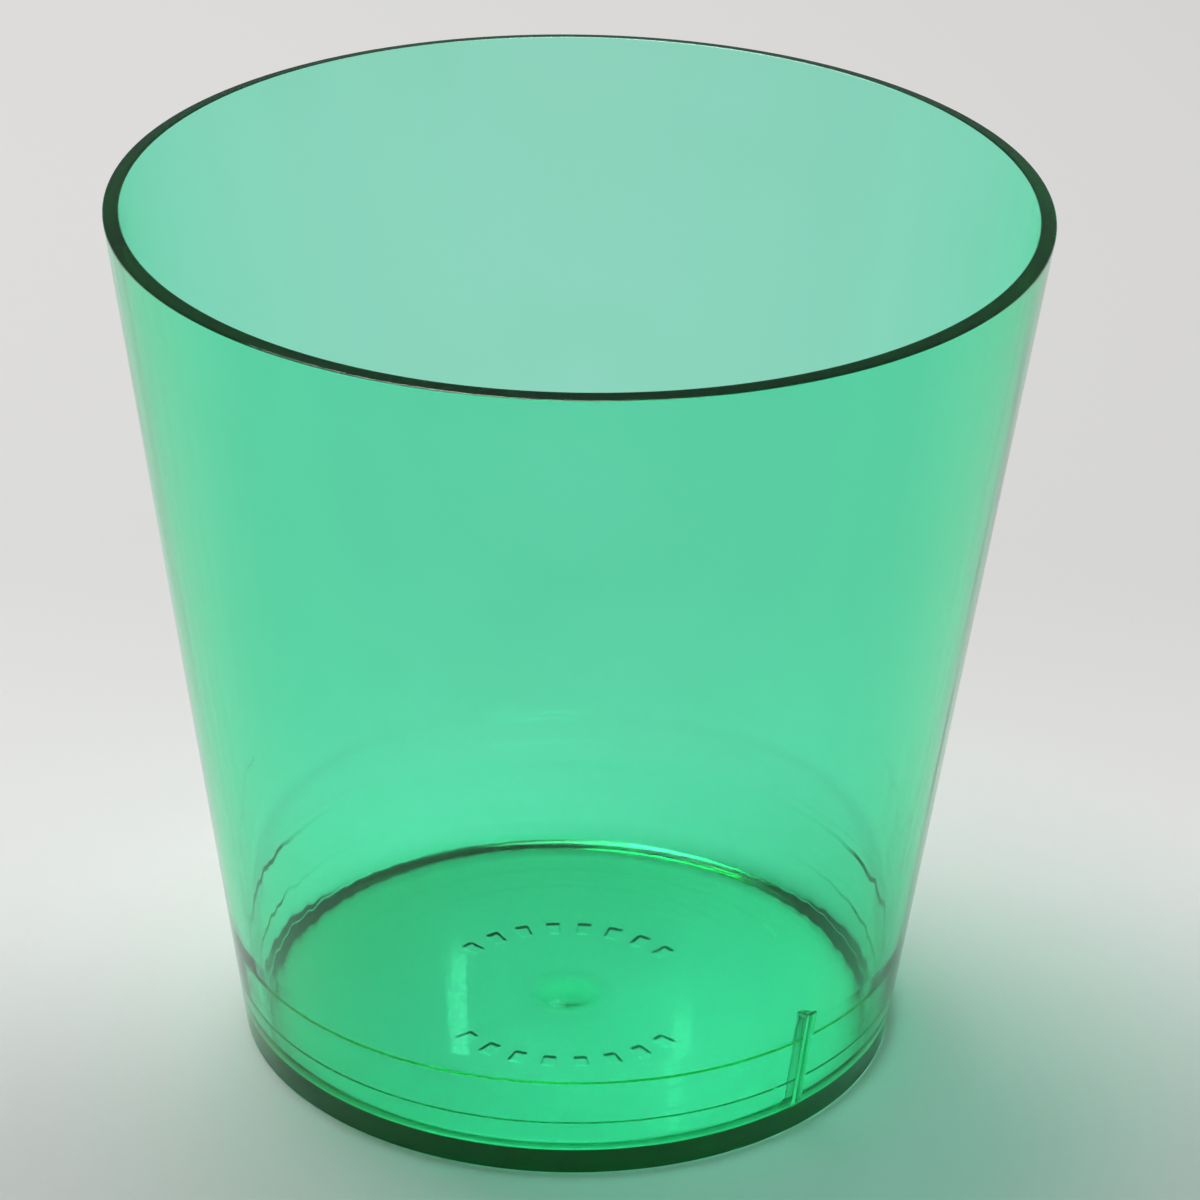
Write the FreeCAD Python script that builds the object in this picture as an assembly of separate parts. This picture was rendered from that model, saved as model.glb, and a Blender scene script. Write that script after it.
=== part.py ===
import FreeCAD, Part
import math
import os

# Florist bucket: one clear plastic moulding, open at the top, wider at the mouth than at the foot.
# Millimetres, +Z up. The origin is the centre of the standing ring, on the surface it stands on.
# The moulding is modelled as its named regions, which meet face to face and never overlap.

# Driving dimensions
HEIGHT = 126.5
MOUTH_RADIUS = 65.0          # outside of the wall at the rim
FOOT_RADIUS = 47.1           # outside of the wall carried down to the table
WALL = 2.25                  # measured level, so the same at every height
LIP_ROUNDING = 0.3
LIP_DROP = 0.35              # outer edge of the lip below its inner edge, so it is square to the leaning wall

# Foot band: the lowest part of the wall, thickened inwards by two small steps
BAND_HEIGHT = 15.0           # height of the upper step
UPPER_STEP = 0.3
LOWER_STEP_HEIGHT = 7.9
LOWER_STEP = 0.2
FOOT_ROUNDING = 0.2
INSIDE_FILLET = 3.6

# Floor, held just off the table: its underside slopes up a little inside the standing ring
FLOOR_TOP = 2.2
FLOOR_UNDERSIDE = 0.15
FLOOR_RADIUS = 41.0
STANDING_RING_WIDTH = 2.6
FLOOR_STEP_RADII = (35.5, 30.5)
FLOOR_STEP = 0.05
GATE_RADIUS = 6.0            # low dome in the middle, where the plastic was injected
GATE_RISE = 0.9

# One upright rib inside the foot, which keeps a nested bucket from sliding all the way down
RIB_ANGLE = -45.0            # degrees from +X, seen from above
RIB_TOP = 19.0
RIB_WIDTH = 1.5
RIB_DEPTH = 2.1              # inwards from the wall above the foot band

AXIS = FreeCAD.Vector(0, 0, 1)
CENTRE = FreeCAD.Vector(0, 0, 0)


def outer_radius(z):
    """Outside of the wall at height z."""
    return FOOT_RADIUS + (MOUTH_RADIUS - FOOT_RADIUS) * z / HEIGHT


def inner_radius(z):
    """Inside of the wall at height z, above the foot band's steps."""
    return outer_radius(z) - WALL


def point(radius, z):
    return FreeCAD.Vector(radius, 0, z)


def corner_arc(before, corner, after, rounding):
    """Arc tangent to both runs that meet at a corner."""
    to_before = (before - corner).normalize()
    to_after = (after - corner).normalize()
    half_angle = to_before.getAngle(to_after) / 2
    setback = rounding / math.tan(half_angle)
    inwards = (to_before + to_after).normalize()
    middle = corner + inwards * (rounding / math.sin(half_angle) - rounding)
    start = corner + to_before * setback
    end = corner + to_after * setback
    return Part.Arc(start, middle, end).toShape()


def section(corners):
    """Face from (radius, z, rounding) corners; a rounding of 0 leaves the corner sharp."""
    places = [point(radius, z) for radius, z, rounding in corners]
    arcs = []
    for index, (radius, z, rounding) in enumerate(corners):
        if rounding > 0:
            after = places[(index + 1) % len(places)]
            arcs.append(corner_arc(places[index - 1], places[index], after, rounding))
        else:
            arcs.append(None)
    edges = []
    for index, place in enumerate(places):
        following = (index + 1) % len(places)
        start = place
        end = places[following]
        if arcs[index]:
            edges.append(arcs[index])
            start = arcs[index].lastVertex().Point
        if arcs[following]:
            end = arcs[following].firstVertex().Point
        edges.append(Part.LineSegment(start, end).toShape())
    return Part.Face(Part.Wire(edges))


def turned(face):
    """Solid of revolution about the bucket's axis."""
    return face.revolve(CENTRE, AXIS, 360)


def side_wall():
    """Tapered wall from the foot band up to the plain rounded lip."""
    return turned(section([
        (outer_radius(BAND_HEIGHT), BAND_HEIGHT, 0),
        (outer_radius(HEIGHT - LIP_DROP), HEIGHT - LIP_DROP, LIP_ROUNDING),
        (inner_radius(HEIGHT), HEIGHT, LIP_ROUNDING),
        (inner_radius(BAND_HEIGHT), BAND_HEIGHT, 0),
    ]))


def foot_band():
    """Stepped foot of the wall, with the standing ring and the fillet into the floor."""
    upper = -UPPER_STEP
    lower = -UPPER_STEP - LOWER_STEP
    ring_inside = FOOT_RADIUS - STANDING_RING_WIDTH
    return turned(section([
        (outer_radius(BAND_HEIGHT), BAND_HEIGHT, 0),
        (inner_radius(BAND_HEIGHT) + upper, BAND_HEIGHT, 0),
        (inner_radius(LOWER_STEP_HEIGHT) + upper, LOWER_STEP_HEIGHT, 0),
        (inner_radius(LOWER_STEP_HEIGHT) + lower, LOWER_STEP_HEIGHT, 0),
        (inner_radius(FLOOR_TOP) + lower, FLOOR_TOP, INSIDE_FILLET),
        (FLOOR_RADIUS, FLOOR_TOP, 0),
        (FLOOR_RADIUS, FLOOR_UNDERSIDE, 0),
        (ring_inside, 0, 0),
        (FOOT_RADIUS, 0, FOOT_ROUNDING),
    ]))


def floor_top_edges():
    """Runs of the floor's upper face from the foot band in to the gate, one shallow step at a time."""
    corners = [(FLOOR_RADIUS, FLOOR_TOP, 0)]
    level = FLOOR_TOP
    for radius in FLOOR_STEP_RADII:
        corners.append((radius, level, 0))
        level -= FLOOR_STEP
        corners.append((radius, level, 0))
    return corners, level


def floor():
    """Disc with a flat underside, shallow steps on top and a low dome at the gate in the middle."""
    corners, level = floor_top_edges()
    edges = []
    places = [point(radius, z) for radius, z, rounding in corners]
    places.append(point(GATE_RADIUS, level))
    for start, end in zip(places, places[1:]):
        edges.append(Part.LineSegment(start, end).toShape())
    edges.append(dome_arc(level))
    crown = point(0, level + GATE_RISE)
    below = [crown, point(0, FLOOR_UNDERSIDE), point(FLOOR_RADIUS, FLOOR_UNDERSIDE), places[0]]
    for start, end in zip(below, below[1:]):
        edges.append(Part.LineSegment(start, end).toShape())
    return turned(Part.Face(Part.Wire(edges)))


def dome_arc(level):
    """Section of the gate's dome, from its rim at this level to its crown on the axis."""
    sphere_radius = (GATE_RADIUS ** 2 + GATE_RISE ** 2) / (2 * GATE_RISE)
    centre_z = level + GATE_RISE - sphere_radius
    half_way = math.asin(GATE_RADIUS / sphere_radius) / 2
    middle = point(sphere_radius * math.sin(half_way), centre_z + sphere_radius * math.cos(half_way))
    return Part.Arc(point(GATE_RADIUS, level), middle, point(0, level + GATE_RISE)).toShape()


def inside_rib(neighbours):
    """Upright rib that follows the wall's taper, cut back to the faces it stands against."""
    inside = [point(inner_radius(z) - RIB_DEPTH, z) for z in (FLOOR_UNDERSIDE, RIB_TOP)]
    in_wall = [point(inner_radius(z) + WALL / 2, z) for z in (RIB_TOP, FLOOR_UNDERSIDE)]
    places = inside + in_wall
    face = Part.Face(Part.makePolygon(places + places[:1]))
    face.translate(FreeCAD.Vector(0, -RIB_WIDTH / 2, 0))
    rib = face.extrude(FreeCAD.Vector(0, RIB_WIDTH, 0))
    rib.rotate(CENTRE, AXIS, RIB_ANGLE)
    return rib.cut(neighbours)


def export(name, shape):
    """Write one region as its own file, as a single checked solid."""
    solid = shape.Solids[0]
    print(name, "solids", len(shape.Solids), "valid", solid.isValid(), "cm3", round(solid.Volume / 1000, 3))
    solid.exportStep("parts/" + name + ".step")
    return solid


def main():
    os.makedirs("parts", exist_ok=True)
    regions = [
        export("side_wall", side_wall()),
        export("foot_band", foot_band()),
        export("floor", floor()),
    ]
    export("inside_rib", inside_rib(regions))


main()
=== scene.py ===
# %% [markdown]
# # A clear green flower bucket
# A florist's bucket for cut flowers is about the plainest thing that is moulded: one tapered cup of
# clear tinted plastic. Nothing is fitted to it, so everything that the eye enjoys comes from one
# closed surface: how thick the wall is, how the lip and foot are shaped, and how light travels
# through the plastic. The lip is cut square to the leaning wall, so it shows broad in front and thin
# at the back. This lesson builds that surface to the CAD model's sizes, then the plastic, then a
# studio.

# %% Load the frame
import bpy
import math
from mathutils import Matrix, Vector


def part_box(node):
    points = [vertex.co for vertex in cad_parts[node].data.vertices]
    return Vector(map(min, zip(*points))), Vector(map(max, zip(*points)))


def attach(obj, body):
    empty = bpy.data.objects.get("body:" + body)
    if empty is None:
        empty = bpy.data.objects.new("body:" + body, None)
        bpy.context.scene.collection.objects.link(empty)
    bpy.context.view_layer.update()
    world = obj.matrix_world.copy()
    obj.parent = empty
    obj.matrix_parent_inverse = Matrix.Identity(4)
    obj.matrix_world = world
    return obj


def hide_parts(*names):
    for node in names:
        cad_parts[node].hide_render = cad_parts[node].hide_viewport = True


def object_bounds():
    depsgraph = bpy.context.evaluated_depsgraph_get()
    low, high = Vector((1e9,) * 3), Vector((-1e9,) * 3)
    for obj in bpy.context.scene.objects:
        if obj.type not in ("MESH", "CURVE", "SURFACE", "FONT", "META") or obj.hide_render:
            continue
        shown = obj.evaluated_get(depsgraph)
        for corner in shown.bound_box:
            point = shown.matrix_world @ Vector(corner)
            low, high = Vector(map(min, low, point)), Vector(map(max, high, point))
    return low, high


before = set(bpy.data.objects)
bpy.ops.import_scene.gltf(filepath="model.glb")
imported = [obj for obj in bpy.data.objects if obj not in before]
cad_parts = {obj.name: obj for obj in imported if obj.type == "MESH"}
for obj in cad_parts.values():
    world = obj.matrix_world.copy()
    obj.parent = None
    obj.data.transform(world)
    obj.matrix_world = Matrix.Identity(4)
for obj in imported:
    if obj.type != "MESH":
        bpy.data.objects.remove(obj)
cad_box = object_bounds()
print("CAD box in metres:", [[round(v, 4) for v in corner] for corner in cad_box])

# %% [markdown]
# ## Sizes
# Heights that the CAD model's boxes show are read from it, so the two can't drift apart. The bucket's
# own height is read to a tenth of a millimetre, because its box ends on the rounded lip. What a box
# can't show, such as the wall and the roundings, is written here once.

# %% Sizes of the moulding
MM = 0.001
foot_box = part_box("foot_band")
floor_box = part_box("floor")
rib_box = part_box("inside_rib")

height = round(cad_box[1][2], 4)
band_height = foot_box[1][2]
floor_underside = floor_box[0][2]
rib_top = rib_box[1][2]
mouth_radius = 65.0 * MM
foot_radius = 47.1 * MM
wall = 2.25 * MM
lip_rounding = 0.3 * MM
lip_drop = 0.35 * MM
upper_step = 0.3 * MM
lower_step = 0.2 * MM
lower_step_height = 7.9 * MM
step_rounding = 0.25 * MM
foot_rounding = 0.2 * MM
inside_fillet = 3.6 * MM
floor_top = 2.2 * MM
floor_steps = (35.5 * MM, 30.5 * MM)
floor_step = 0.05 * MM
floor_step_blend = 0.4 * MM
ring_width = 2.6 * MM
floor_radius = 41.0 * MM
gate_radius = 6.0 * MM
gate_rise = 0.9 * MM
rib_width = 1.5 * MM
rib_depth = 2.1 * MM
rib_softness = 0.3 * MM
print("height", round(height, 4), "band", round(band_height, 4), "rib top", round(rib_top, 4))


# %% [markdown]
# ## The outline
# A turned or moulded round thing is its half outline carried round an axis. The outline could be a
# Bezier curve drawn by hand, but every corner here has a known radius, so a short function rounds
# each corner with a true arc and divides the runs between them. Each long run also gets a point
# close to each end: smooth shading blends the faces' directions at a point, and a near neighbour
# keeps the blend of a small arc from spreading over the whole wall, where clear plastic shows it.

# %% Outline helpers
def outer_radius(z):
    """Outside of the wall at height z."""
    return foot_radius + (mouth_radius - foot_radius) * z / height


def inner_radius(z):
    """Inside of the wall at height z, above the foot band's steps."""
    return outer_radius(z) - wall


def rounded_corner(before, corner, after, rounding, segments):
    """Points of the arc that is tangent to both runs at a corner."""
    ax, az = before[0] - corner[0], before[1] - corner[1]
    bx, bz = after[0] - corner[0], after[1] - corner[1]
    a_length, b_length = math.hypot(ax, az), math.hypot(bx, bz)
    ax, az, bx, bz = ax / a_length, az / a_length, bx / b_length, bz / b_length
    half = math.acos(max(-1.0, min(1.0, ax * bx + az * bz))) / 2
    mid_x, mid_z = ax + bx, az + bz
    mid_length = math.hypot(mid_x, mid_z)
    reach = rounding / math.sin(half)
    centre = (corner[0] + mid_x / mid_length * reach, corner[1] + mid_z / mid_length * reach)
    setback = rounding / math.tan(half)
    start = math.atan2(corner[1] + az * setback - centre[1], corner[0] + ax * setback - centre[0])
    end = math.atan2(corner[1] + bz * setback - centre[1], corner[0] + bx * setback - centre[0])
    turn = (end - start + math.pi) % (2 * math.pi) - math.pi
    angles = [start + turn * step / segments for step in range(segments + 1)]
    return [(centre[0] + rounding * math.cos(a), centre[1] + rounding * math.sin(a)) for a in angles]


def divided_run(start, end, spacing, support):
    """Points strictly between two ends, evenly spaced, with one close to each end."""
    length = math.hypot(end[0] - start[0], end[1] - start[1])
    pieces = max(1, math.ceil(length / spacing))
    places = [step * length / pieces for step in range(1, pieces)]
    if length > 4 * support:
        places += [support, length - support]
    return [(start[0] + (end[0] - start[0]) * p / length, start[1] + (end[1] - start[1]) * p / length)
            for p in sorted(places)]


# %% [markdown]
# The outline starts on the axis on top of the floor, runs out, up the inside, over the lip, down the
# outside, and back under the floor to the axis. Each corner says how round it is and whether the run
# after it faces into the bucket, because the rib grows only from there.

# %% Outline of the bucket
run_spacing = 3.0 * MM
support_distance = 0.25 * MM
arc_segments = 6
level = floor_top - floor_step * len(floor_steps)
ring_inside = foot_radius - ring_width


def gate_dome(base, points):
    """Section of the dished spot at the gate, from the axis to its edge."""
    sphere = (gate_radius ** 2 + gate_rise ** 2) / (2 * gate_rise)
    places = [gate_radius * step / points for step in range(points)]
    return [(r, base + gate_rise - sphere + math.sqrt(sphere ** 2 - r ** 2)) for r in places]


def floor_corners():
    """Top of the floor from the gate outwards, one shallow step up at a time."""
    corners = [(gate_radius, level, 0.0, True)]
    for number, radius in enumerate(reversed(floor_steps)):
        low = level + number * floor_step
        corners.append((radius - floor_step_blend, low, 0.3 * MM, True))
        corners.append((radius + floor_step_blend, low + floor_step, 0.3 * MM, True))
    return corners


bucket_corners = floor_corners() + [
    (inner_radius(floor_top) - upper_step - lower_step, floor_top, inside_fillet, True),
    (inner_radius(lower_step_height) - upper_step - lower_step, lower_step_height, step_rounding, True),
    (inner_radius(lower_step_height) - upper_step, lower_step_height + 2 * lower_step, step_rounding, True),
    (inner_radius(band_height) - upper_step, band_height, step_rounding, True),
    (inner_radius(band_height), band_height + 1.7 * upper_step, step_rounding, True),
    (inner_radius(rib_top - 2 * rib_softness), rib_top - 2 * rib_softness, 0.0, True),
    (inner_radius(rib_top - rib_softness), rib_top - rib_softness, 0.0, True),
    (inner_radius(rib_top), rib_top, 0.0, True),
    (inner_radius(rib_top + rib_softness), rib_top + rib_softness, 0.0, True),
    (inner_radius(height), height, lip_rounding, False),
    (outer_radius(height - lip_drop), height - lip_drop, lip_rounding, False),
    (foot_radius, 0.0, foot_rounding, False),
    (ring_inside, 0.0, 0.0, False),
    (floor_radius, floor_underside, 0.0, False),
    (gate_radius, floor_underside, 0.0, False),
]


def outline_points(corners):
    """(radius, height, faces inwards) for every point of the rounded and divided outline."""
    first = [(r, z, True) for r, z in gate_dome(level, 6)]
    last = [(r, floor_underside, False) for r, z in reversed(gate_dome(level, 6))]
    rounded = []
    for index, (radius, z, rounding, inwards) in enumerate(corners):
        here = (radius, z)
        if rounding > 0:
            before, after = corners[index - 1][:2], corners[index + 1][:2]
            rounded.append(rounded_corner(before, here, after, rounding, arc_segments))
        else:
            rounded.append([here])
    points = list(first)
    for index, stretch in enumerate(rounded):
        inwards = corners[index][3]
        points += [(r, z, inwards) for r, z in stretch]
        if index + 1 < len(rounded):
            run = divided_run(stretch[-1], rounded[index + 1][0], run_spacing, support_distance)
            points += [(r, z, inwards) for r, z in run]
    return points + last


outline = outline_points(bucket_corners)
print("outline points:", len(outline))

# %% [markdown]
# The outline becomes a string of vertices and edges in the XZ plane. A named attribute carries the
# "faces inwards" flag with it, so that the node tree can read it later.

# %% Outline as an object
outline_mesh = bpy.data.meshes.new("bucket_outline")
outline_edges = [(i, i + 1) for i in range(len(outline) - 1)]
outline_mesh.from_pydata([(r, 0.0, z) for r, z, inwards in outline], outline_edges, [])
faces_inwards = outline_mesh.attributes.new("faces_inwards", "FLOAT", "POINT")
for entry, (r, z, inwards) in zip(faces_inwards.data, outline):
    entry.value = 1.0 if inwards else 0.0
bucket_maker = bpy.data.objects.new("bucket_maker", outline_mesh)
bpy.context.scene.collection.objects.link(bucket_maker)


# %% [markdown]
# ## Small helpers for node trees
# Building a tree by hand is mostly "make a node, set a value, join a wire". Two helpers keep the
# trees below short enough to read as formulas.

# %% Node helpers
def join(tree, value, socket):
    """Wire an output into a socket, or set the socket to a plain value."""
    if isinstance(value, bpy.types.NodeSocket):
        tree.links.new(value, socket)
    else:
        socket.default_value = value


def maths(tree, operation, *values):
    """One Math node; its inputs are wires or numbers."""
    node = tree.nodes.new("ShaderNodeMath")
    node.operation = operation
    for value, socket in zip(values, node.inputs):
        join(tree, value, socket)
    return node.outputs[0]


def fade(tree, value, low, high):
    """Smooth step: 0 at low and 1 at high, which may be the lower number."""
    node = tree.nodes.new("ShaderNodeMapRange")
    node.interpolation_type = "SMOOTHSTEP"
    for source, name in ((value, "Value"), (low, "From Min"), (high, "From Max")):
        join(tree, source, node.inputs[name])
    return node.outputs[0]


# %% [markdown]
# ## Turning the outline into a moulding
# Screw or Spin would carry the outline round, but the rib would then need a boolean cut, which leaves
# slivers that clear plastic shows. A Geometry Nodes grid is cleaner: its rows are the outline's
# points, its columns are angles, and a formula places every point. The columns crowd together at the
# rib through a cubic curve, so the narrow rib gets fine faces and the plain wall doesn't. The rib is
# then just the inside of the wall pulled inwards, where a column is close enough to the rib's centre
# line and a row is below its top.

# %% Turning tree: inputs
turning = bpy.data.node_groups.new("turned_moulding", "GeometryNodeTree")
turning.interface.new_socket("Geometry", in_out="OUTPUT", socket_type="NodeSocketGeometry")
turning.interface.new_socket("Geometry", in_out="INPUT", socket_type="NodeSocketGeometry")
turning_values = {
    "Columns": 420,
    "Spacing at rib": 0.1,
    "Rib angle": -math.pi / 4,
    "Rib width": rib_width,
    "Rib depth": rib_depth,
    "Rib top": rib_top,
    "Softness": rib_softness,
    "Inside radius at foot": inner_radius(0.0),
    "Flare": (mouth_radius - foot_radius) / height,
}
turning_sockets = {}
for name, value in turning_values.items():
    kind = "NodeSocketInt" if isinstance(value, int) else "NodeSocketFloat"
    turning_sockets[name] = turning.interface.new_socket(name, in_out="INPUT", socket_type=kind).identifier
given = turning.nodes.new("NodeGroupInput")
outline_in = given.outputs["Geometry"]
print("turning inputs:", ", ".join(turning_values))

# %% Turning tree: rows and columns
size = turning.nodes.new("GeometryNodeAttributeDomainSize")
join(turning, outline_in, size.inputs["Geometry"])
rows = size.outputs["Point Count"]
columns = given.outputs["Columns"]
grid = turning.nodes.new("GeometryNodeMeshGrid")
join(turning, maths(turning, "ADD", columns, 1), grid.inputs["Vertices X"])
join(turning, rows, grid.inputs["Vertices Y"])
index = turning.nodes.new("GeometryNodeInputIndex").outputs[0]
column = maths(turning, "FLOOR", maths(turning, "DIVIDE", maths(turning, "ADD", index, 0.5), rows))
row = maths(turning, "SUBTRACT", index, maths(turning, "MULTIPLY", column, rows))


def from_outline(data_type, value):
    """The value that the outline has at this row."""
    sample = turning.nodes.new("GeometryNodeSampleIndex")
    sample.data_type = data_type
    join(turning, outline_in, sample.inputs["Geometry"])
    join(turning, value, sample.inputs["Value"])
    join(turning, row, sample.inputs["Index"])
    return sample.outputs["Value"]


place = turning.nodes.new("ShaderNodeSeparateXYZ")
position = turning.nodes.new("GeometryNodeInputPosition").outputs[0]
join(turning, from_outline("FLOAT_VECTOR", position), place.inputs[0])
radius_here = place.outputs["X"]
height_here = place.outputs["Z"]
flag = turning.nodes.new("GeometryNodeInputNamedAttribute")
flag.data_type = "FLOAT"
flag.inputs["Name"].default_value = "faces_inwards"
inwards_here = from_outline("FLOAT", flag.outputs["Attribute"])

# %% Turning tree: angle of each column
twice_column = maths(turning, "MULTIPLY", column, 2)
share = maths(turning, "SUBTRACT", maths(turning, "DIVIDE", twice_column, columns), 1)
cubed = maths(turning, "MULTIPLY", share, maths(turning, "MULTIPLY", share, share))
spacing = given.outputs["Spacing at rib"]
even_part = maths(turning, "MULTIPLY", share, spacing)
crowded_part = maths(turning, "MULTIPLY", cubed, maths(turning, "SUBTRACT", 1, spacing))
from_rib = maths(turning, "MULTIPLY", maths(turning, "ADD", even_part, crowded_part), math.pi)
angle = maths(turning, "ADD", from_rib, given.outputs["Rib angle"])

# %% Turning tree: rib
sideways = maths(turning, "ABSOLUTE", maths(turning, "MULTIPLY", radius_here, from_rib))
half_width = maths(turning, "DIVIDE", given.outputs["Rib width"], 2)
softness = given.outputs["Softness"]
side_fade = fade(turning, sideways, maths(turning, "ADD", half_width, softness),
                 maths(turning, "SUBTRACT", half_width, softness))
top_fade = fade(turning, height_here, maths(turning, "ADD", given.outputs["Rib top"], softness),
                maths(turning, "SUBTRACT", given.outputs["Rib top"], softness))
both_fades = maths(turning, "MULTIPLY", side_fade, top_fade)
depth = maths(turning, "MULTIPLY", both_fades, given.outputs["Rib depth"])
plain_wall = maths(turning, "MULTIPLY_ADD", height_here, given.outputs["Flare"],
                   given.outputs["Inside radius at foot"])
with_rib = maths(turning, "MINIMUM", radius_here, maths(turning, "SUBTRACT", plain_wall, depth))
pulled = maths(turning, "MULTIPLY", maths(turning, "SUBTRACT", with_rib, radius_here), inwards_here)
final_radius = maths(turning, "ADD", radius_here, pulled)

# %% Turning tree: place the grid and close it
spot = turning.nodes.new("ShaderNodeCombineXYZ")
join(turning, maths(turning, "MULTIPLY", final_radius, maths(turning, "COSINE", angle)), spot.inputs["X"])
join(turning, maths(turning, "MULTIPLY", final_radius, maths(turning, "SINE", angle)), spot.inputs["Y"])
join(turning, height_here, spot.inputs["Z"])
placed = turning.nodes.new("GeometryNodeSetPosition")
join(turning, grid.outputs["Mesh"], placed.inputs["Geometry"])
join(turning, spot.outputs[0], placed.inputs["Position"])
closed = turning.nodes.new("GeometryNodeMergeByDistance")
closed.inputs["Distance"].default_value = 0.0002 * MM
join(turning, placed.outputs[0], closed.inputs["Geometry"])
outwards = turning.nodes.new("GeometryNodeFlipFaces")
join(turning, closed.outputs[0], outwards.inputs[0])
smooth = turning.nodes.new("GeometryNodeSetShadeSmooth")
join(turning, outwards.outputs[0], smooth.inputs["Geometry"])
solid = turning.nodes.new("GeometryNodeRealizeInstances")
join(turning, smooth.outputs[0], solid.inputs["Geometry"])
dressed = turning.nodes.new("GeometryNodeSetMaterial")
join(turning, solid.outputs[0], dressed.inputs["Geometry"])
result = turning.nodes.new("NodeGroupOutput")
join(turning, dressed.outputs[0], result.inputs["Geometry"])
print("turning tree nodes:", len(turning.nodes))

# %% [markdown]
# ## The plastic
# Clear tinted polystyrene is one glassy shader and one volume. The tint isn't painted on the
# surface: it is in the volume, so a ray darkens with every millimetre that it travels inside. That
# is why the wall is pale, the floor is deep green and the lip, where light runs down inside the
# wall, is almost black-green. A little green sheen is a cheat: real polystyrene has none, but it
# keeps that lip from looking like black glass. The surface adds what a mould and a shop shelf leave:
# long gentle waves where the melt flowed, a faint change of polish, and scuffs where the bucket
# stands and at its lip.

# %% Plastic: glassy surface and tinted volume
plastic = bpy.data.materials.new("tinted_clear_moulding")
plastic.use_nodes = True
look = plastic.node_tree
look.nodes.clear()
shader = look.nodes.new("ShaderNodeBsdfPrincipled")
shader.inputs["Transmission Weight"].default_value = 1.0
shader.inputs["IOR"].default_value = 1.5
shader.inputs["Sheen Weight"].default_value = 0.2
shader.inputs["Sheen Roughness"].default_value = 0.5
shader.inputs["Sheen Tint"].default_value = (0.2, 1.0, 0.6, 1.0)
tint = look.nodes.new("ShaderNodeVolumeAbsorption")
tint.inputs["Color"].default_value = (0.10, 0.982, 0.75, 1.0)
tint.inputs["Density"].default_value = 450.0
plastic_out = look.nodes.new("ShaderNodeOutputMaterial")
join(look, shader.outputs[0], plastic_out.inputs["Surface"])
join(look, tint.outputs[0], plastic_out.inputs["Volume"])
dressed.inputs["Material"].default_value = plastic

# %% [markdown]
# The surface marks all start from the object's own coordinates. Dividing x and y by the distance
# from the axis gives a point on a circle, the same at every height, so noise read there makes
# streaks that run up the wall, as the melt did when it filled the mould. `stretched` sets how many
# streaks go round and how quickly they change with height.

# %% Plastic: places on the moulding
place_node = look.nodes.new("ShaderNodeTexCoord").outputs["Object"]
split = look.nodes.new("ShaderNodeSeparateXYZ")
join(look, place_node, split.inputs[0])
x_here, y_here, z_here = split.outputs
across = maths(look, "SQRT", maths(look, "ADD", maths(look, "MULTIPLY", x_here, x_here),
                                  maths(look, "MULTIPLY", y_here, y_here)))
safe_across = maths(look, "MAXIMUM", across, 12.0 * MM)


def stretched(around, upwards):
    """Coordinates that run round the wall `around` times faster than they run up it."""
    joined = look.nodes.new("ShaderNodeCombineXYZ")
    for level_here, name in ((x_here, "X"), (y_here, "Y")):
        on_circle = maths(look, "DIVIDE", level_here, safe_across)
        join(look, maths(look, "MULTIPLY", on_circle, around), joined.inputs[name])
    join(look, maths(look, "MULTIPLY", z_here, upwards), joined.inputs["Z"])
    return joined.outputs[0]


def noise(coordinates, scale, detail):
    """Plain noise around 0.5."""
    node = look.nodes.new("ShaderNodeTexNoise")
    join(look, coordinates, node.inputs["Vector"])
    node.inputs["Scale"].default_value = scale
    node.inputs["Detail"].default_value = detail
    return node.outputs[0]


def raised(height_value, distance, normal=None):
    """Bump of a height field, on top of another bump."""
    node = look.nodes.new("ShaderNodeBump")
    node.inputs["Strength"].default_value = 1.0
    node.inputs["Distance"].default_value = distance
    join(look, height_value, node.inputs["Height"])
    if normal:
        join(look, normal, node.inputs["Normal"])
    return node.outputs[0]


# %% [markdown]
# Four kinds of unevenness, each a bump on the one before: long waves and fine streaks from the melt,
# which fade out on the floor, a fine orange peel from the mould's polish, and two arcs of small raised
# dots in the underside, such as a mould maker might leave, which are seen through the floor.

# %% Plastic: relief
dot_ring_radius = 19.0 * MM
dot_count = 26.0
wave_height = 0.06 * MM
streak_height = 0.001 * MM
peel_height = 0.0012 * MM
dot_height = 0.14 * MM
on_wall = fade(look, z_here, 4.0 * MM, 20.0 * MM)
flow_waves = maths(look, "MULTIPLY", noise(stretched(5.0, 14.0), 1.0, 2.0), on_wall)
flow_streaks = maths(look, "MULTIPLY", noise(stretched(26.0, 9.0), 1.0, 1.0), on_wall)
peel = noise(place_node, 650.0, 2.0)
relief = raised(flow_waves, wave_height)
relief = raised(flow_streaks, streak_height, relief)
relief = raised(peel, peel_height, relief)
round_angle = maths(look, "ARCTAN2", y_here, x_here)
dot_pulse = fade(look, maths(look, "COSINE", maths(look, "MULTIPLY", round_angle, dot_count)), -0.2, 0.7)
off_ring = maths(look, "ABSOLUTE", maths(look, "SUBTRACT", across, dot_ring_radius))
dot_band = fade(look, off_ring, 1.9 * MM, 0.9 * MM)
underneath = fade(look, z_here, 0.6 * MM, 0.4 * MM)
two_arcs = fade(look, maths(look, "DIVIDE", maths(look, "ABSOLUTE", y_here), safe_across), 0.5, 0.62)
dots = maths(look, "MULTIPLY", maths(look, "MULTIPLY", dot_pulse, dot_band), underneath)
relief = raised(maths(look, "MULTIPLY", dots, two_arcs), dot_height, relief)
join(look, relief, shader.inputs["Normal"])
print("relief in mm:", [round(v / MM, 4) for v in (wave_height, streak_height, peel_height, dot_height)])

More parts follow.
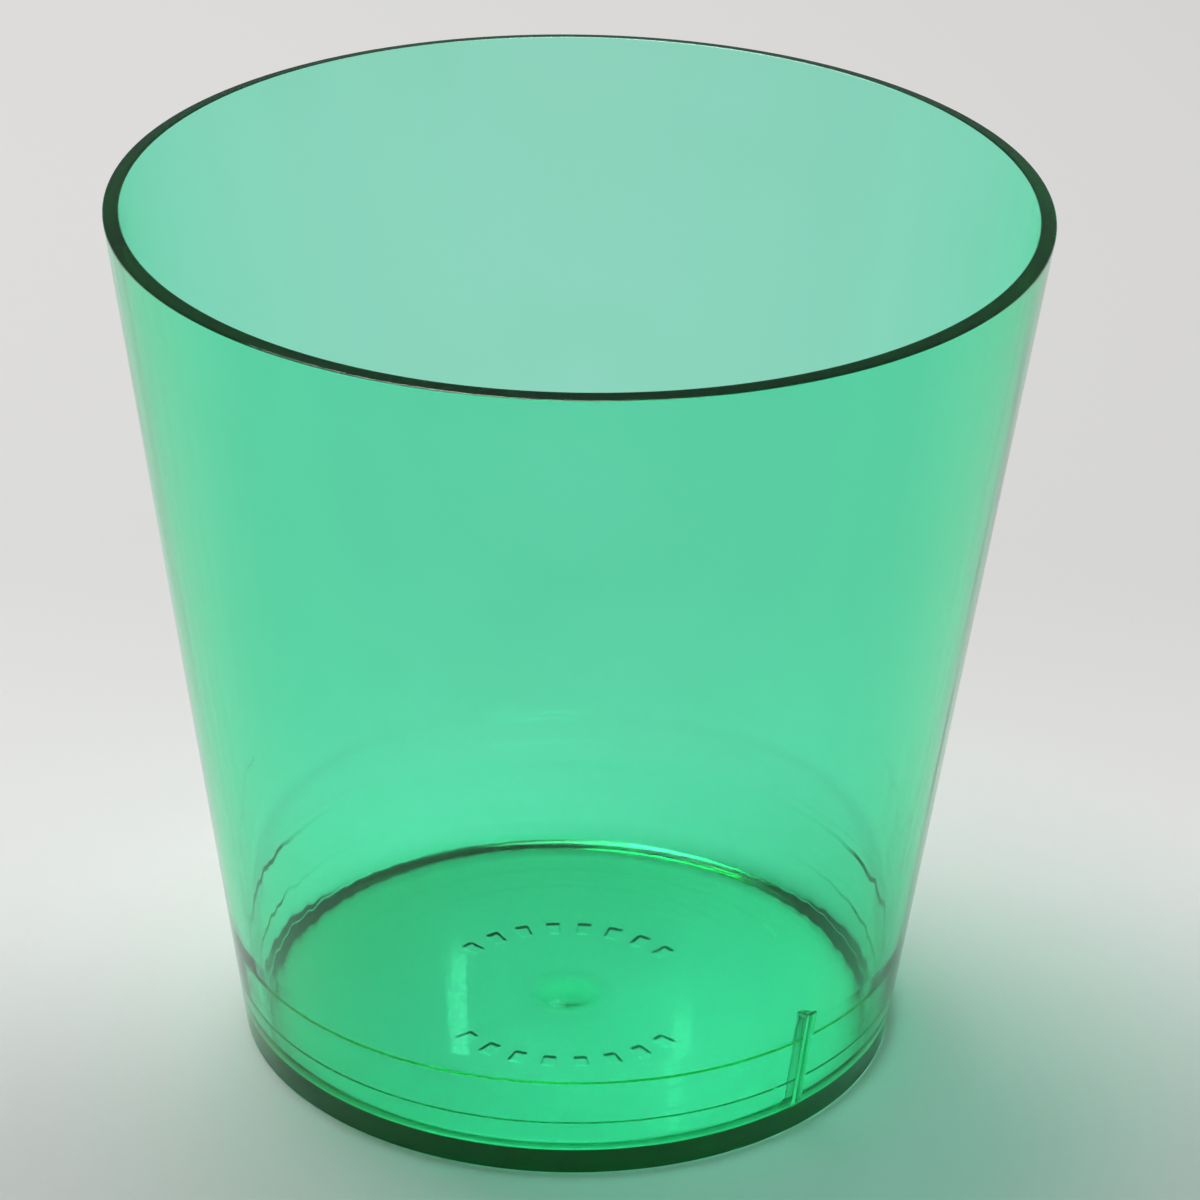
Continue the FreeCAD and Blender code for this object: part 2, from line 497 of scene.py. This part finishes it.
# %% [markdown]
# Polish varies gently all over. The foot and the lip, which rub on shelves and on other buckets, are
# duller in patches. A few large smudges tint the surface a little. Roughness and smudges are drawn by
# noise, so they can be stronger or weaker by one number each.

# %% Plastic: polish and handling marks
scuff_grain = noise(place_node, 900.0, 4.0)
scuffed_foot = fade(look, z_here, 1.6 * MM, 0.2 * MM)
scuffed_lip = fade(look, z_here, height - 0.7 * MM, height - 0.1 * MM)
worn = maths(look, "MULTIPLY", maths(look, "MAXIMUM", scuffed_foot, scuffed_lip),
             fade(look, scuff_grain, 0.45, 0.7))
haze = fade(look, noise(stretched(3.0, 30.0), 1.0, 5.0), 0.35, 0.75)
polish = maths(look, "MULTIPLY_ADD", haze, 0.03, 0.012)
roughness = maths(look, "MULTIPLY_ADD", worn, 0.16, polish)
join(look, roughness, shader.inputs["Roughness"])
smudge = fade(look, noise(place_node, 34.0, 4.0), 0.45, 0.75)
smudged = look.nodes.new("ShaderNodeValToRGB")
smudged.color_ramp.elements[0].color = (1.0, 1.0, 1.0, 1.0)
smudged.color_ramp.elements[1].color = (0.95, 0.985, 0.965, 1.0)
join(look, smudge, smudged.inputs["Fac"])
join(look, smudged.outputs["Color"], shader.inputs["Base Color"])
print("plastic nodes:", len(look.nodes))

# %% [markdown]
# ## Making the bucket
# The modifier gets its values by each socket's identifier. The evaluated result is kept as a plain
# mesh, which bakes and exports like any other. Its signed volume is positive only if its faces point
# outwards.

# %% Make the bucket
turner = bucket_maker.modifiers.new("turned_moulding", "NODES")
turner.node_group = turning
for name, value in turning_values.items():
    turner[turning_sockets[name]] = value
bpy.context.view_layer.update()
evaluated = bucket_maker.evaluated_get(bpy.context.evaluated_depsgraph_get())
bucket_mesh = bpy.data.meshes.new_from_object(evaluated)
bucket_mesh.name = "bucket_moulding"
bucket_mesh.materials.clear()
bucket_mesh.materials.append(plastic)
bpy.data.objects.remove(bucket_maker)
bucket = bpy.data.objects.new("bucket_moulding", bucket_mesh)
bpy.context.scene.collection.objects.link(bucket)


def signed_volume(mesh):
    """Volume of a closed mesh, positive when its faces point outwards."""
    mesh.calc_loop_triangles()
    points = [v.co for v in mesh.vertices]
    return sum(points[a].dot(points[b].cross(points[c])) for a, b, c in
               (t.vertices for t in mesh.loop_triangles)) / 6


print("faces", len(bucket_mesh.polygons), "volume cm3", round(signed_volume(bucket_mesh) * 1e6, 2),
      "materials", list(bucket_mesh.materials))

# %% [markdown]
# One mesh stands for all four named regions of the CAD model. Clear plastic shows every inner face,
# so four separate meshes would show a seam at each join that the real moulding doesn't have.

# %% Bucket into the frame
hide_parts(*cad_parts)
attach(bucket, "root")

# %% [markdown]
# ## Studio
# Clear plastic is lit by what stands behind and under it, so the paper does most of the work. Its colour
# holds painted light and shade: it is palest under the back of the bucket, a painted pool of light, and
# greyer in front of it, painted shade where a white sheet would be mirrored in the wall and wash out the
# green. Equal greys in the stops below make it plain.

# %% Paper sheet
floor_size = 6.0
floor_mesh = bpy.data.meshes.new("studio_floor")
half = floor_size / 2
under = -0.1 * MM
sheet_corners = [(-half, -half, under), (half, -half, under), (half, half, under), (-half, half, under)]
floor_mesh.from_pydata(sheet_corners, [], [(0, 1, 2, 3)])
studio_floor = bpy.data.objects.new("studio_floor", floor_mesh)
bpy.context.scene.collection.objects.link(studio_floor)
print("paper sheet:", floor_size, "m square,", round(-under / MM, 2), "mm under the foot")

# %% Paper tone, with painted shade in front and a painted pool of light under the back
paper = bpy.data.materials.new("pale_paper")
paper.use_nodes = True
paper_tree = paper.node_tree
paper_shader = paper_tree.nodes["Principled BSDF"]
paper_shader.inputs["Roughness"].default_value = 0.9
paper_place = paper_tree.nodes.new("ShaderNodeSeparateXYZ")
join(paper_tree, paper_tree.nodes.new("ShaderNodeTexCoord").outputs["Object"], paper_place.inputs[0])
# Painted light and shade: the grey runs along y, darkest just in front of the bucket and palest under its
# back, standing in for how the studio's light falls.
painted_light_and_shade_reach = 0.5
along = maths(paper_tree, "ADD", paper_place.outputs["Y"], painted_light_and_shade_reach)
painted_light_and_shade_ramp = paper_tree.nodes.new("ShaderNodeValToRGB")
join(paper_tree, along, painted_light_and_shade_ramp.inputs["Fac"])
painted_light_and_shade_ramp.color_ramp.interpolation = "EASE"
painted_light_and_shade_stops = ((0.0, 0.86), (0.32, 0.60), (0.44, 0.70), (0.54, 1.0), (0.66, 0.88))
for number, (at, grey) in enumerate(painted_light_and_shade_stops):
    stop = painted_light_and_shade_ramp.color_ramp.elements[number] if number < 2 else painted_light_and_shade_ramp.color_ramp.elements.new(at)
    stop.position = at
    stop.color = (grey, grey * 0.99, grey * 0.98, 1.0)
join(paper_tree, painted_light_and_shade_ramp.outputs["Color"], paper_shader.inputs["Base Color"])
greys = [grey for at, grey in painted_light_and_shade_stops]
print("paper reflects from", min(greys), "to", max(greys))
floor_mesh.materials.append(paper)

# %% [markdown]
# A dim even sky keeps the lip dark. One large softbox, high up behind the bucket and to its
# left, lights the paper. Two narrow strips behind are mirrored in the polished floor as the
# short upright highlights that glossy mouldings show.

# %% Lights
world = bpy.data.worlds.new("studio_sky")
bpy.context.scene.world = world
world.use_nodes = True
world.node_tree.nodes["Background"].inputs["Color"].default_value = (1.0, 1.0, 1.0, 1.0)
world.node_tree.nodes["Background"].inputs["Strength"].default_value = 0.15


def soft_light(name, place, aim, size_x, size_y, watts):
    """Rectangular studio light at a place, facing a point."""
    lamp = bpy.data.lights.new(name, "AREA")
    lamp.shape = "RECTANGLE"
    lamp.size = size_x
    lamp.size_y = size_y
    lamp.energy = watts
    light = bpy.data.objects.new(name, lamp)
    bpy.context.scene.collection.objects.link(light)
    light.location = place
    towards = [a - p for a, p in zip(aim, place)]
    light.rotation_euler = Vector(towards).to_track_quat("-Z", "Y").to_euler()
    return light


soft_light("key_softbox", (-0.25, 0.35, 1.3), (0, 0, 0.0), 0.85, 0.85, 13.5)
soft_light("left_strip", (-0.06, 1.04, 0.634), (0, 0, 0.0), 0.007, 0.042, 0.0028)
soft_light("right_strip", (0.053, 1.04, 0.672), (0, 0, 0.0), 0.006, 0.065, 0.0028)

# %% [markdown]
# A long lens from a little above keeps the taper honest. A slight roll tips the mouth a degree, so
# the view feels hand held.

# %% Camera
camera_distance = 0.7452
camera_elevation = math.radians(26.76)
camera_roll = math.radians(1.1)
aim_point = Vector((0.00376, 0.0, 0.0656))
camera_data = bpy.data.cameras.new("camera")
camera_data.lens = 158.0
camera_data.sensor_width = 36.0
camera = bpy.data.objects.new("camera", camera_data)
bpy.context.scene.collection.objects.link(camera)
backwards = Vector((0, -math.cos(camera_elevation), math.sin(camera_elevation)))
camera.location = aim_point + camera_distance * backwards
camera.rotation_euler = (math.pi / 2 - camera_elevation, 0.0, 0.0)
camera.rotation_euler = (camera.rotation_euler.to_matrix() @ Matrix.Rotation(camera_roll, 3, "Z")).to_euler()
bpy.context.scene.camera = camera
bpy.context.scene.view_settings.view_transform = "Standard"
print("camera", camera_data.lens, "mm lens,", camera_distance, "m from its aim")

# %% [markdown]
# Cycles can blur sharp reflections after a rough bounce, which saves noise. In clear plastic that
# filter takes away much of the light that comes up through the floor, so it is turned off.

# %% Light paths
bpy.context.scene.cycles.blur_glossy = 0.0
